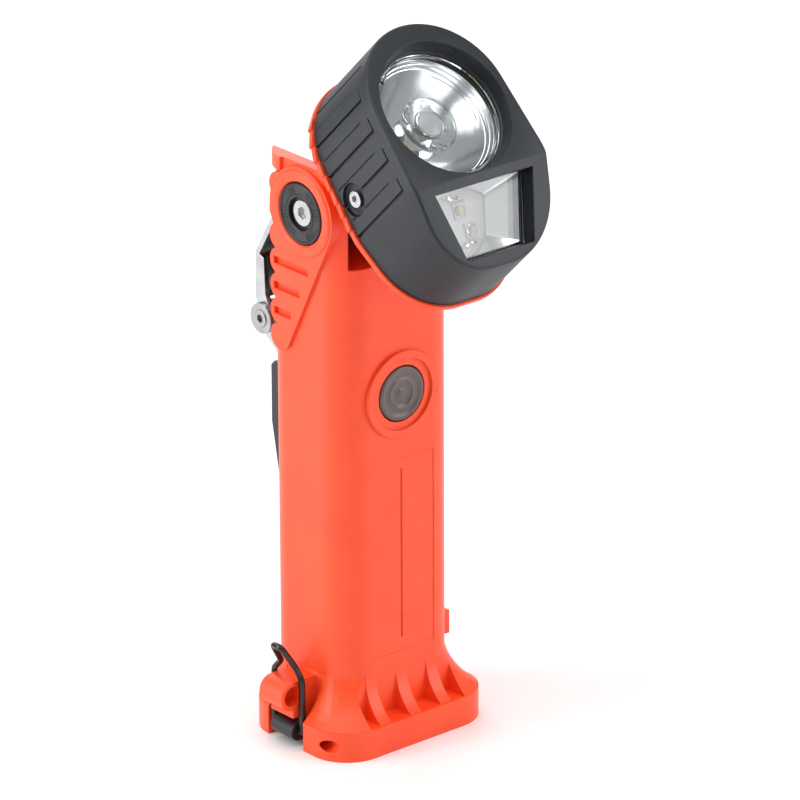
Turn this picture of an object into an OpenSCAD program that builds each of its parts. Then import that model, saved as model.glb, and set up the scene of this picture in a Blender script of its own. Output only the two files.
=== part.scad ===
/* [Column] */
// Width of the handle column, side to side
column_w = 42; // [40:0.5:50]
// Depth of the handle column, front to back
column_d = 34.4; // [33:0.2:40]
// Radius of the column's upright corners
column_r = 10; // [8:0.5:11]
// Wall of the moulded body
wall = 2.4; // [2:0.1:3]
// Height of the front wall, up to the opening for the neck
column_h = 143.5; // [140:0.5:160]
// Thickness of the roof over the battery bay
roof_t = 3.5; // [2.5:0.5:5]

/* [Base] */
// Half width of the base flange
flange_x = 28.5; // [27:0.5:32]
// How far the flange reaches forward of the column axis
flange_front = 24.5; // [23.5:0.5:28]
// How far the flange reaches back from the column axis
flange_back = 19.5; // [18.5:0.5:23]
// Radius of the flange's corners
flange_r = 12; // [10:0.5:14]
// Height of the flange's upright edge
flange_h = 8.75; // [8:0.25:11]
// Height of the concave flare above the flange edge
flare_h = 16.4; // [10:0.1:18]
// Height of the ribs above the flange
rib_h = 12.3; // [10:0.1:14]
// Half width of the ribbed pockets in the front of the flare
pocket_x = 17.2; // [15:0.1:18]
// Thickness of a front rib
rib_t = 4; // [3:0.5:5]
// Distance from rib to rib
rib_pitch = 11.05; // [10:0.05:12]
// Diameter of the lanyard hole
lanyard_d = 3.8; // [3:0.2:4.4]
// Width of the shallow label area on the front
label_w = 23.4; // [16:0.2:24]
// Height of the shallow label area
label_h = 58; // [52:0.5:60]
// Width of the upright groove in the label area
line_w = 0.6; // [0.4:0.1:1]
// Length of the upright groove in the label area
line_l = 51; // [30:0.5:52]
// Thickness of the battery door
door_t = 3; // [2.5:0.5:4]

/* [Head pivot] */
// Height of the pivot axis above the front wall
pivot_rise = 13.9; // [13:0.1:18]
// Height of the ears above the pivot axis
ear_rise = 14; // [13.6:0.2:15]
// Place of the pivot axis, front to back
pivot_y = -1; // [-2:0.25:0]
// Half width of the opening between the two ears
slot_x = 17; // [16:0.25:17.5]
// Radius of the neck barrel
neck_r = 11; // [9:0.5:11.5]
// Radius of the bush stub that the neck turns on
stub_r = 5; // [4:0.5:6]
// Radius of the black pivot cap
cap_r = 8.85; // [7.5:0.05:9.5]
// Radius of the raised ring round the pivot cap
ear_r = 13.3; // [12:0.1:14]
// How far the ear pads stand proud of the column
pad_t = 1; // [0.5:0.25:1.5]
// Radius of one lobe of the rear grip
lobe_r = 4; // [3.75:0.05:4.2]
// Distance from lobe to lobe
lobe_pitch = 7.4; // [7:0.1:8]
// Number of lobes on each side
lobes = 7; // [5:1:7]

/* [Head] */
// Elevation of the beam in the rest position
head_tilt = 45; // [0:5:90]
// Clearance between the head's back and the column
rim_gap = 1.4; // [1.3:0.1:3]
// Thickness of the coloured rear rim
rim_t = 1.6; // [1.2:0.2:2.5]
// How far that rim stands out past the bezel
rim_over = 0.6; // [0.4:0.2:1]
// Radius of the top of the head
crown_r = 22.6; // [22.4:0.2:25]
// Height of that round top above the beam axis
crown_w = 3.4; // [2:0.1:5]
// Radius of the head's widest stretch, level with the fold
cheek_r = 16.8; // [15:0.2:18]
// Sideways place of that stretch's centres
cheek_side = 6.9; // [6:0.1:8.5]
// Their drop below the beam axis
cheek_w = 17.6; // [16:0.2:19]
// Radius of the two lower corners of the head
chin_r = 18.8; // [18:0.2:20]
// Sideways place of the lower corners
chin_x = 3.4; // [2:0.2:6]
// Drop of the lower corners below the beam axis
chin_w = 25.4; // [25:0.2:28]
// Depth of the bezel behind its face
bezel_l = 31; // [30:0.2:36]
// Wall of the bezel
bezel_wall = 2.4; // [2:0.2:3]
// Width of the slope round the bezel's face
edge_t = 2.4; // [1.5:0.1:3]
// Depth of that slope
edge_drop = 4; // [2:0.2:4.6]
// Drop from the beam axis to the fold in the face
fold_w = 20.6; // [20.4:0.1:23]
// Tilt of the lower face
flood_tilt = 23.5; // [15:0.5:25]
// Diameter of the round lens
lens_d = 38; // [34:0.2:38.2]
// Setback of the round lens behind the face
lens_drop = 4.6; // [3:0.2:5]
// Width of the flood window at its top
flood_top = 34.8; // [30:0.2:35.4]
// Width of the flood window at its bottom
flood_bottom = 23.6; // [20:0.2:25]
// Height of the flood window
flood_h = 19.6; // [16:0.2:20]

/* [Button] */
// Height of the power button's axis
button_z = 103.6; // [95:0.2:108]
// Diameter of the button cap
button_d = 16; // [14:0.5:18]
// Diameter of the raised ring round the button
ring_d = 25.5; // [22:0.5:26]
// How far the ring stands proud
ring_t = 1; // [0.6:0.1:1]
// Travel of the button
button_travel = 1.2; // [0.8:0.1:1.5]

/* [Clip] */
// Height of the clip's hinge axis
hinge_z = 117; // [112:0.5:120]
// Distance of the hinge axis behind the column's back face
hinge_out = 8.3; // [7.5:0.1:10]
// Radius of the clip's hinge pin
pin_r = 2.5; // [2:0.25:2.75]
// Radius of the hinge knuckles and washers
knuckle_r = 4.4; // [3.8:0.1:4.6]
// Half width of the clip's hinge bracket
bracket_x = 12; // [10:0.5:13]
// Thickness of the clip's sheet steel
steel_t = 1.5; // [1.2:0.1:2]
// Length of the jaw pad
pad_l = 37; // [30:1:45]

/* [Bail latch] */
// Sideways place of the latch barrel's axis
barrel_x = 27.4; // [27:0.1:28.4]
// Height of the latch barrel's axis
barrel_z = 4.6; // [4:0.1:5]
// Radius of the latch barrel
barrel_r = 2.7; // [2.4:0.1:2.9]
// Diameter of the bail wire
wire_d = 1.9; // [1.6:0.1:2]
// Half length of the lug that the bail hooks over
lug_y = 4.8; // [4.5:0.1:5.4]

/* [Hidden] */
$fn = 64;

fit = 0.05;                              // running fit, on the radius
gap = 0.3;                               // clearance between neighbours
eps = 0.01;                              // straights run this far inside the arcs they join

side_x = column_w / 2;
back_y = column_d / 2;
pivot_z = column_h + pivot_rise;
ear_top_r = back_y + pivot_y;            // ears end on an arc flush with the front
crown_z = pivot_z + ear_rise;
bay_top = column_h - roof_t;
seat_y = pivot_y + neck_r + 0.8;         // back of the opening for the neck
flare_z = flange_h + flare_h;
pad_x = side_x + pad_t;
grip_y = pivot_y + 9.4;                  // centres of the grip lobes
grip_z = pivot_z - 38.8;                 // lowest lobe

rim_n = ear_top_r + rim_gap;             // back of the rim, from the pivot
bezel_n = rim_n + rim_t;
face_n = bezel_n + bezel_l;
lens_n = face_n - lens_drop;
lens_t = 2.2;
flood_in = 2.6;                          // fold to the window's top edge
glass_t = 1.8;
board_n = bezel_n + 3.2;                 // front of the heat sink

hinge_y = back_y + hinge_out;
notch_y = 7.6;                           // front face of the latch notch
catch_x = 7.1;                           // small block on the side away from the latch
catch_z = 18.8;
catch_h = 7.1;
crown_round = 3.2;
brow_t = 4;
cleft_deep = 1.2;
cleft_h = 2.2;
cleft_y = 7.4;
cleft_step = 3.8;
label_z = 26;
label_deep = 0.2;
line_z = 30;
line_deep = 0.55;
lanyard_x = -26;
lanyard_y = -13;
lanyard_z = 4.5;
lanyard_turn = 12;
notch_x = side_x + gap;
wire_r = wire_d / 2;
leg_y = lug_y + gap + wire_r;
lug_round = 4.2;
lug_x = barrel_x + 2.3;
lug_z = barrel_z + 11.4;
lug_foot = barrel_z + barrel_r + 2;
cell_d = 14.5;
cell_l = 50.5;
cell_y = back_y - wall - cell_d / 2 - 1.6;
cell_z = door_t + 5.2;
board_y = -back_y + wall + 5.2;          // front face of the switch board
button_face = 0.6;                       // cap stands this far out of the wall
bush_flange = 2;
stub_l = 7;                              // reach of a bush into the neck
neck_x = slot_x - 0.4;
door_x = 23;
door_right = 24.5;
door_y = 15.4;
door_r = 8;
barrel_end = leg_y - 1.5;
spring_x = 5;
cheek_x = bracket_x + gap + steel_t;     // outer face of the lever's cheeks
pin_x = cheek_x + 1.5;
arm_y = back_y + 1.6;
pad_half = 13.2;                         // half width of the jaw pad
bracket_screw_z = hinge_z + 21;
jaw_top = hinge_z - 12;
jaw_z = jaw_top - pad_l;
tab_l = 9;
screw_w = -9.2;
screw_n = bezel_n + 5.8;
groove_pitch = 9.3;
groove_mid = 0.6;                        // groove nearest to the beam axis
flood_back = -13;                        // flood board, behind the tilted face

// ---- helpers -----------------------------------------------------------

function unit(v) = v / norm(v);
function right_of(d) = [d[1], -d[0]];
function tangent_normal(a, b) =
    let (l = norm([b[0] - a[0], b[1] - a[1]]),
         d = [b[0] - a[0], b[1] - a[1]] / l,
         k = (a[2] - b[2]) / l)
    d * k + right_of(d) * sqrt(1 - k * k);

// Closed outline round circles [x, y, r] that are given anticlockwise
module round_outline(circles) {
    n = len(circles);
    pairs = [for (i = [0 : n - 1])
        let (a = circles[i], b = circles[(i + 1) % n], t = tangent_normal(a, b))
        [[a[0], a[1]] + (a[2] - eps) * t, [b[0], b[1]] + (b[2] - eps) * t]];
    for (c = circles) translate([c[0], c[1]]) circle(r = c[2]);
    polygon([for (p = pairs) for (q = p) q]);
}

module round_rect(w, d, r) {
    square([w - 2 * r, d], center = true);
    square([w, d - 2 * r], center = true);
    for (x = [-1, 1], y = [-1, 1])
        translate([x * (w / 2 - r), y * (d / 2 - r)]) circle(r = r);
}

// A YZ outline, extruded from x0 to x1
module across(x0, x1) {
    translate([x0, 0, 0]) rotate([90, 0, 90]) linear_extrude(x1 - x0) children();
}

module both_sides() {
    children();
    mirror([1, 0, 0]) children();
}

module rod_x(x0, x1, r) {
    translate([x0, 0, 0]) rotate([0, 90, 0]) cylinder(r = r, h = x1 - x0);
}

// Places a shape in the head's own frame: x, up the face, out along the beam
module in_head() {
    translate([0, pivot_y, pivot_z]) rotate([90 - head_tilt, 0, 0]) children();
}

// The same for the tilted lower face, from the fold
module in_flood() {
    in_head() translate([0, -fold_w, face_n]) rotate([flood_tilt, 0, 0]) children();
}

// Straight round rod between two points
module rod(a, b, r) {
    d = b - a;
    translate(a)
        rotate([0, acos(d[2] / norm(d)), atan2(d[1], d[0])])
            cylinder(r = r, h = norm(d));
}

// Path with every inner corner replaced by points along its round bend
function rounded(path, bends, steps = 4) = [for (i = [0 : len(path) - 1])
    for (p = i == 0 || i == len(path) - 1 ? [path[i]] :
        let (a = unit(path[i] - path[i - 1]),
             b = unit(path[i + 1] - path[i]),
             turn = acos(a * b),
             side = unit(b - a * (a * b)),
             from = path[i] - a * bends[i] * tan(turn / 2))
        [for (k = [0 : steps]) let (t = turn * k / steps)
            from + a * bends[i] * sin(t) + side * bends[i] * (1 - cos(t))]) p];

// Skin of walls and end caps over rings of points, each ring anticlockwise
// round its own way forward
module skin(rings) {
    n = len(rings[0]);
    last = len(rings) - 1;
    polyhedron([for (ring = rings) for (p = ring) p],
        concat([for (i = [0 : last - 1]) for (j = [0 : n - 1])
                    let (k = (j + 1) % n)
                    [i * n + j, (i + 1) * n + j, (i + 1) * n + k, i * n + k]],
               [[for (j = [0 : n - 1]) j]],
               [[for (j = [n - 1 : -1 : 0]) last * n + j]]));
}

// Round wire swept along a path that never runs along X
module bent_wire(path, r, sides = 10) {
    last = len(path) - 1;
    skin([for (i = [0 : last])
        let (d = unit(path[min(i + 1, last)] - path[max(i - 1, 0)]),
             u = unit(cross([1, 0, 0], d)),
             v = cross(d, u))
        [for (j = [0 : sides - 1])
            let (t = 360 * j / sides) path[i] + r * (u * cos(t) + v * sin(t))]]);
}

// Coil of wire along Z
module coil(r0, r1, h, turns, wire) {
    sides = 8;
    steps = turns * 14;
    skin([for (i = [0 : steps])
        let (t = i / steps, a = 360 * turns * t, r = r0 + (r1 - r0) * t)
        [for (j = [0 : sides - 1])
            let (b = 360 * j / sides, q = r + wire / 2 * cos(b))
            [q * cos(a), q * sin(a), h * t - wire / 2 * sin(b)]]]);
}

// ---- outlines ----------------------------------------------------------

module head_outline(inset = 0) {
    round_outline([[0, crown_w, crown_r - inset],
                   [-cheek_side, -cheek_w, cheek_r - inset],
                   [-chin_x, -chin_w, chin_r - inset],
                   [chin_x, -chin_w, chin_r - inset],
                   [cheek_side, -cheek_w, cheek_r - inset]]);
}

// Side face of the head at the height of groove i, and which way it looks
function groove_w(i) = i * groove_pitch + groove_mid - crown_w;
function groove_x(i) = groove_w(i) > 0 ?
    sqrt(crown_r * crown_r - pow(groove_w(i), 2)) :
    crown_r + groove_w(i) * (crown_r - cheek_side - cheek_r) / (crown_w + cheek_w);
function groove_turn(i) = groove_w(i) > 0 ? asin(groove_w(i) / crown_r) : 0;

module window_outline(grow = 0) {
    polygon([[-flood_top / 2 - grow, -flood_in + grow],
             [-flood_bottom / 2 - grow, -flood_in - flood_h - grow],
             [flood_bottom / 2 + grow, -flood_in - flood_h - grow],
             [flood_top / 2 + grow, -flood_in + grow]]);
}

// Side view of the column's crown, round about the pivot at the front
module crown_outline() {
    translate([-back_y, 0]) square([2 * back_y, pivot_z]);
    translate([pivot_y, pivot_z]) circle(r = ear_top_r);
    translate([pivot_y, 0]) square([back_y - pivot_y - eps, crown_z - crown_round]);
    translate([pivot_y, 0]) square([back_y - pivot_y - crown_round, crown_z - eps]);
    translate([back_y - crown_round, crown_z - crown_round]) circle(r = crown_round);
}

// Side view of the brow over the back of the crown, its back end rounded
module brow_outline() {
    end_y = back_y + 1 - brow_t / 2;
    translate([seat_y - 3, crown_z - brow_t + eps])
        square([end_y - seat_y + 3, brow_t - 2 * eps]);
    translate([end_y, crown_z - brow_t / 2]) circle(r = brow_t / 2);
}

module ear_outline() {
    ring = [pivot_y, pivot_z, ear_r];
    foot = [grip_y, grip_z, lobe_r];
    out = tangent_normal(ring, foot);
    translate([pivot_y, pivot_z]) circle(r = ear_r);
    polygon([[pivot_y, pivot_z],
             [pivot_y, pivot_z] + ear_r * out,
             [grip_y, grip_z] + lobe_r * out,
             [grip_y, grip_z - lobe_r / 2],
             [grip_y + 1, grip_z],
             [grip_y + 1, grip_z + (lobes - 1) * lobe_pitch]]);
    for (i = [0 : lobes - 1])
        translate([grip_y, grip_z + i * lobe_pitch]) circle(r = lobe_r);
}

// ---- handle ------------------------------------------------------------

// Concave foot between the column and the flange: rounded rings on a quarter
// curve, sunk a little into both so that the surfaces cross cleanly
module flare() {
    reach = max(flange_x - side_x, flange_front - back_y);
    curve = (reach * reach + flare_h * flare_h) / (2 * reach);
    levels = 9;
    arc = 8;
    function spread(t) =
        (curve - sqrt(curve * curve - pow(flare_h * (1 - t), 2))) / reach;
    function mix(a, b, k) = a + (b - a) * k;
    function ring(k, z) =
        let (r = mix(column_r - 0.4, flange_r - 0.3, k),
             x = mix(side_x - 0.4, flange_x - 0.3, k),
             front = mix(back_y - 0.4, flange_front - 0.3, k),
             back = mix(back_y - 0.4, flange_back - 0.3, k))
        [for (q = [[1, 1, 0], [-1, 1, 90], [-1, -1, 180], [1, -1, 270]])
            for (i = [0 : arc])
                let (a = q[2] + 90 * i / arc)
                [q[0] * (x - r) + r * cos(a),
                 (q[1] > 0 ? back - r : r - front) + r * sin(a), z]];
    skin(concat([ring(1, flange_h - 1)],
                [for (l = [0 : levels]) ring(spread(l / levels), flange_h + flare_h * l / levels)]));
}

module flange_slab(h) {
    y = (flange_back - flange_front) / 2;
    translate([0, y, 0]) linear_extrude(h)
        round_rect(2 * flange_x, flange_front + flange_back, flange_r);
}

module ribs() {
    a = flange_front - back_y - 0.7;
    r = (a * a + rib_h * rib_h) / (2 * a);
    for (i = [-1 : 1])
        translate([i * rib_pitch - 0.5, 0, 0])
            across(-rib_t / 2, rib_t / 2)
                difference() {
                    translate([-back_y - a, flange_h - 1]) square([a + 1, rib_h + 1]);
                    translate([-back_y - r, flange_h + rib_h]) circle(r = r, $fn = 96);
                }
}

// Lug in the latch notch that the bail hooks over
module latch_lug() {
    rotate([90, 0, 0]) translate([0, 0, -lug_y])
        difference() {
            linear_extrude(2 * lug_y) {
                translate([-lug_x, lug_z]) circle(r = lug_round);
                translate([-lug_x, lug_foot])
                    square([lug_x - side_x + 2, lug_z + lug_round - lug_foot]);
            }
            translate([-lug_x, lug_z, 2 * lug_y - 4]) cylinder(r = lug_round - 1.2, h = 5);
        }
}

module body_shell() {
    color("orangered")
    difference() {
        union() {
            intersection() {
                linear_extrude(crown_z) round_rect(column_w, column_d, column_r);
                across(-side_x - 1, side_x + 1) crown_outline();
            }
            intersection() {
                linear_extrude(crown_z + 1) round_rect(column_w + 2, column_d + 2, column_r + 1);
                across(-side_x - 2, side_x + 2) brow_outline();
            }
            both_sides() across(slot_x, pad_x) ear_outline();
            flange_slab(flange_h);
            difference() {
                flare();
                translate([-pocket_x, -flange_front - 1, flange_h])
                    cube([2 * pocket_x, flange_front + 1 - back_y, flare_h + 1]);
            }
            ribs();
            translate([side_x - 2, -lug_y, catch_z])
                cube([catch_x + 2, 2 * lug_y, catch_h]);
            translate([0, -back_y, button_z]) rotate([90, 0, 0])
                cylinder(d = ring_d, h = ring_t);
        }
        // battery bay
        translate([0, 0, -1]) linear_extrude(bay_top + 1)
            round_rect(column_w - 2 * wall, column_d - 2 * wall, column_r - wall);
        // opening for the neck
        translate([-slot_x, -back_y - 5, column_h])
            cube([2 * slot_x, seat_y + back_y + 5, crown_z]);
        translate([-slot_x, 0, pivot_z - 4]) cube([2 * slot_x, column_d, crown_z]);
        // pivot bushes
        translate([0, pivot_y, pivot_z]) {
            rod_x(-side_x - 5, side_x + 5, stub_r + 1.5);
            both_sides() rod_x(pad_x - bush_flange, side_x + 5, cap_r + 0.25);
        }
        // lead passage
        translate([0, 2, bay_top - 1]) cylinder(r = 3, h = roof_t + 2);
        // button
        translate([0, -back_y - ring_t - 1, button_z]) rotate([-90, 0, 0]) {
            cylinder(d = button_d + 2 * gap, h = ring_t + wall + 2);
            cylinder(d = button_d + 5, h = 1 + ring_t - 0.2);
        }
        // label area and the groove down it
        translate([-label_w / 2, -back_y - 1, label_z]) cube([label_w, 1 + label_deep, label_h]);
        translate([-line_w / 2, -back_y - 1, line_z]) cube([line_w, 1 + line_deep, line_l]);
        // clefts in the lower lobes, ending short of the ear's front edge
        both_sides() for (i = [1 : 3])
            translate([pad_x - cleft_deep, cleft_y - i * cleft_step,
                       grip_z + i * lobe_pitch - cleft_h / 2])
                cube([cleft_deep + 1, grip_y + 2.4 - cleft_y + i * cleft_step, cleft_h]);
        // door recess and latch notch
        translate([0, 0, -1]) door_slab(gap, door_t + 1 + gap);
        translate([-flange_x - 10, -notch_y, -1])
            cube([flange_x + 10 - notch_x, 2 * notch_y, flare_z + 2]);
        // lanyard hole
        translate([lanyard_x, lanyard_y, lanyard_z]) rotate([90, 0, -lanyard_turn])
            translate([0, 0, -6.5]) cylinder(d = lanyard_d, h = 20);
        // bracket screws
        for (x = [-7, 7]) translate([x, back_y + 1, bracket_screw_z])
            rotate([90, 0, 0]) cylinder(r = 1.2, h = 3);
    }
    color("orangered") latch_lug();
}

module door_slab(grow, t) {
    translate([(door_right - door_x) / 2, 0, 0]) linear_extrude(t)
        round_rect(door_x + door_right + 2 * grow, 2 * door_y + 2 * grow, door_r + grow);
}

// Door in the foot of the body, with the arm and barrel that carry the bail
module battery_door() {
    arm = barrel_end - 0.2;
    color("dimgray")
    difference() {
        union() {
            door_slab(0, door_t);
            translate([-barrel_x, -arm, barrel_z - barrel_r])
                cube([barrel_x - notch_x, 2 * arm, barrel_r + 1]);
            translate([-barrel_x, -barrel_end, barrel_z]) rotate([-90, 0, 0])
                cylinder(r = barrel_r, h = 2 * barrel_end);
        }
        translate([-barrel_x, -barrel_end - 1, barrel_z]) rotate([-90, 0, 0])
            cylinder(r = wire_r + fit, h = 2 * barrel_end + 2);
    }
}

module door_gasket() {
    color("black")
    translate([0, 0, door_t]) linear_extrude(gap)
        difference() {
            round_rect(column_w - 2 * wall + 3, column_d - 2 * wall - 0.2, column_r - wall);
            round_rect(column_w - 2 * wall - 1.6, column_d - 2 * wall - 1.6, column_r - wall - 1);
        }
}

module cells_at() {
    for (x = [-1, 1]) translate([x * (cell_d + 0.5) / 2, cell_y, 0]) children();
}

module cell_carrier() {
    r = cell_d / 2 + 0.9;
    top = cell_z + 2 * cell_l + 1.8;
    color("dimgray") {
        difference() {
            translate([0, 0, door_t + 0.6]) linear_extrude(top - door_t - 0.6) {
                cells_at() circle(r = r);
                translate([-cell_d / 2, cell_y - r]) square([cell_d, 2 * r]);
            }
            cells_at() cylinder(d = cell_d + 0.4, h = top);
        }
        translate([0, 0, top]) linear_extrude(1.4) {
            cells_at() circle(r = r);
            translate([-cell_d / 2, cell_y - r]) square([cell_d, 2 * r]);
        }
        for (z = [-15, 3]) translate([0, board_y + 1.6, button_z + z]) rotate([-90, 0, 0])
            cylinder(r = 2, h = cell_y - r + 0.4 - board_y - 1.6);
    }
}

module battery_cells() {
    color("silver")
    for (i = [0, 1]) cells_at() translate([0, 0, cell_z + i * (cell_l + 1)]) {
        cylinder(d = cell_d, h = cell_l - 1);
        cylinder(r = 2.7, h = cell_l);
    }
}

module contact_springs() {
    color("silver")
    cells_at() translate([0, 0, door_t + 0.4]) coil(5.6, 2.6, cell_z - door_t - 0.8, 3, 0.8);
}

module contact_plates() {
    color("gold")
    cells_at() translate([0, 0, cell_z + 2 * cell_l + 1]) cylinder(r = 6, h = 0.8);
}

module switch_board() {
    color("darkgreen")
    translate([-9, board_y, button_z - 18]) cube([18, 1.6, 36]);
}

module tact_switch() {
    color("silver")
    translate([0, board_y, button_z]) {
        translate([-3, -1.6, -3]) cube([6, 1.6, 6]);
        rotate([90, 0, 0]) cylinder(r = 1.7, h = 2.2);
    }
}

// Rubber ring that seals the button against the inside of the front wall
module button_boot() {
    color("black")
    translate([0, -back_y + wall, button_z]) rotate([-90, 0, 0])
        difference() {
            cylinder(d = button_d + 5.8, h = 1.6);
            translate([0, 0, -1]) cylinder(d = button_d + 3.8, h = 4);
        }
}

module power_button() {
    depth = button_face + wall + 1.2;
    color("dimgray")
    translate([0, -back_y - button_face, button_z]) rotate([-90, 0, 0])
        difference() {
            union() {
                cylinder(d = button_d, h = depth);
                translate([0, 0, depth - 1]) cylinder(d = button_d + 3, h = 1);
            }
            translate([0, 0, -1]) cylinder(d = button_d - 5, h = 1.4);
        }
}

// ---- pivot -------------------------------------------------------------

// Black cap, shoulder pressed into the ear, and the stub that the neck turns on
module pivot_bush() {
    color("dimgray")
    translate([0, pivot_y, pivot_z])
        difference() {
            union() {
                rod_x(pad_x - bush_flange, pad_x - 0.2, cap_r);
                rod_x(slot_x, pad_x - bush_flange, stub_r + 1.5);
                rod_x(slot_x - stub_l, slot_x, stub_r);
            }
            rod_x(pad_x - 1, pad_x + 1, 4.7);
            rod_x(pad_x - bush_flange, pad_x, 3.65);
            rod_x(slot_x - stub_l - 1, pad_x, 1.6);
        }
}

module pivot_bush_right() {
    pivot_bush();
}

module pivot_bush_left() {
    mirror([1, 0, 0]) pivot_bush();
}

module pivot_screws() {
    color("silver")
    both_sides() translate([0, pivot_y, pivot_z])
        difference() {
            union() {
                rod_x(pad_x - bush_flange, pad_x - 0.5, 3.65);
                rod_x(slot_x - stub_l + 1, pad_x - bush_flange, 1.6);
            }
            translate([pad_x - 1.6, 0, 0]) rotate([0, 90, 0]) cylinder(r = 1.9, h = 2, $fn = 6);
        }
}

// ---- clip --------------------------------------------------------------

module at_hinge() {
    translate([0, hinge_y, hinge_z]) children();
}

// Path drawn as a strip of even thickness
module strip(path, t) {
    for (i = [0 : len(path) - 2])
        let (d = path[i + 1] - path[i])
            translate(path[i]) rotate(atan2(d[1], d[0]))
                translate([0, -t / 2]) square([norm(d), t]);
    for (p = path) translate(p) circle(d = t);
}

module clip_bracket() {
    color("dimgray")
    difference() {
        union() {
            across(-bracket_x, bracket_x) {
                translate([back_y, hinge_z - 7]) square([2.4, 32]);
                translate([back_y, hinge_z - knuckle_r + 0.4])
                    square([hinge_out, 2 * knuckle_r - 0.8]);
                translate([back_y, hinge_z]) square([5.4, 17]);
            }
            at_hinge() rod_x(-bracket_x, bracket_x, knuckle_r);
        }
        at_hinge() rod_x(-bracket_x - 1, bracket_x + 1, pin_r);
        at_hinge() rod_x(-spring_x, spring_x, knuckle_r + 0.4);
        for (x = [-7, 7]) translate([x, back_y + 5, bracket_screw_z]) rotate([90, 0, 0])
            cylinder(r = 1.2, h = 8);
    }
}

module bracket_screws() {
    color("silver")
    for (x = [-7, 7]) translate([x, back_y + 2.4, bracket_screw_z]) {
        rotate([90, 0, 0]) cylinder(r = 1.2, h = 4.2);
        rotate([-90, 0, 0]) difference() {
            cylinder(r = 2.2, h = 1);
            translate([0, 0, 0.5]) cylinder(r = 1.1, h = 1, $fn = 6);
        }
    }
}

module clip_pin() {
    color("silver")
    at_hinge() difference() {
        rod_x(-pin_x, pin_x, pin_r);
        both_sides() translate([pin_x - 1.5, 0, 0]) rotate([0, 90, 0])
            cylinder(r = 1.3, h = 2, $fn = 6);
    }
}

module clip_washers() {
    color("silver")
    at_hinge() both_sides() difference() {
        rod_x(cheek_x + 0.2, pin_x - 0.3, knuckle_r);
        rod_x(cheek_x, pin_x + 1, pin_r);
    }
}

module clip_spring() {
    color("gray")
    at_hinge() translate([-spring_x + 1, 0, 0]) rotate([0, 90, 0])
        coil(pin_r + 0.9, pin_r + 0.9, 2 * spring_x - 2, 5, 0.9);
}

// Sprung steel lever: two cheeks on the pin, thumb plate above, jaw arm below
module clip_lever() {
    low = [hinge_y + 2.7, hinge_z + 5.2];
    bend = [hinge_y + 2.4, hinge_z + 18.8];
    tip = [hinge_y - 4.4, hinge_z + 30.4];
    arm_top = [arm_y, hinge_z - 11.5];
    color("silver")
    difference() {
        union() {
            across(-cheek_x, cheek_x) strip([low, bend, tip], steel_t);
            both_sides() across(cheek_x - steel_t, cheek_x) {
                translate([hinge_y, hinge_z]) circle(r = knuckle_r);
                polygon([low, bend, bend - [2.6, 1], low - [3.4, -2],
                         [hinge_y - 2.5, hinge_z + 3], [hinge_y + 3.2, hinge_z + 2]]);
                polygon([[hinge_y, hinge_z - 4.2], arm_top + [steel_t / 2, 2.5],
                         arm_top + [steel_t / 2, 0], arm_top - [steel_t / 2, 0],
                         arm_top + [-steel_t / 2, 4], [hinge_y - 4, hinge_z + 1]]);
            }
            across(-cheek_x, cheek_x) strip([arm_top, arm_top - [0, 2]], steel_t);
            across(-9, 9) strip([arm_top, [arm_y, jaw_z + 4]], steel_t);
        }
        at_hinge() rod_x(-cheek_x - 1, cheek_x + 1, pin_r + fit);
    }
}

// Rubber jaw pad moulded round the lever's arm
module clip_pad() {
    color("dimgray")
    difference() {
        across(-pad_half, pad_half)
            polygon([[back_y + gap, jaw_z], [back_y + 2.4, jaw_z],
                     [back_y + 6, jaw_z + 0.5 * pad_l], [back_y + 6, jaw_top - 1.5],
                     [back_y + 4.6, jaw_top], [back_y + gap, jaw_top]]);
        across(-9, 9) strip([[arm_y, jaw_top + 2], [arm_y, jaw_z + 4]], steel_t);
        across(-cheek_x - 1, cheek_x + 1)
            strip([[arm_y, jaw_top + 2], [arm_y, hinge_z - 13.5]], steel_t);
    }
}

// ---- bail latch --------------------------------------------------------

// Wire bail: crossbar in the barrel, two legs past the lug, and a finger loop
module latch_bail() {
    waist = lug_z + lug_round + 0.9 + wire_r;
    half = [[-barrel_x, barrel_end + 0.2, barrel_z],
            [-barrel_x, leg_y, barrel_z],
            [-barrel_x, leg_y, waist - 1.2],
            [-barrel_x, 3, waist + 2],
            [-barrel_x - 3.9, 1.9, waist + 8.4]];
    path = concat(half, [for (i = [4 : -1 : 0]) [half[i][0], -half[i][1], half[i][2]]]);
    color("black") {
        bent_wire(rounded(path, [0, 1.1, 2.5, 2, 1.4, 1.4, 2, 2.5, 1.1, 0]), wire_r - 0.04);
        translate([-barrel_x, -barrel_end - 0.4, barrel_z]) rotate([-90, 0, 0])
            cylinder(r = wire_r, h = 2 * barrel_end + 0.8);
    }
}

// ---- head --------------------------------------------------------------

// Solid of the head's outline, its front cut by the fold
module head_block(inset, back, drop) {
    difference() {
        translate([0, 0, back]) linear_extrude(face_n - drop - back) head_outline(inset);
        translate([0, -fold_w, face_n]) rotate([flood_tilt, 0, 0])
            translate([-60, -80, -drop]) cube([120, 80, 60]);
    }
}

// Coloured rear housing: rim, back plate and the wall that the bezel slides over
module head_housing() {
    inner = bezel_wall + 0.2;
    color("orangered")
    in_head() difference() {
        union() {
            translate([0, 0, rim_n]) linear_extrude(rim_t) head_outline(-rim_over);
            translate([0, 0, bezel_n]) linear_extrude(tab_l) head_outline(inner);
        }
        translate([0, 0, bezel_n]) linear_extrude(tab_l + 1) head_outline(inner + 1.6);
        translate([0, 0, rim_n - 1]) cylinder(r = 3, h = rim_t + 2);
        translate([0, screw_w, screw_n]) rod_x(-40, 40, 1.2);
    }
}

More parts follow.
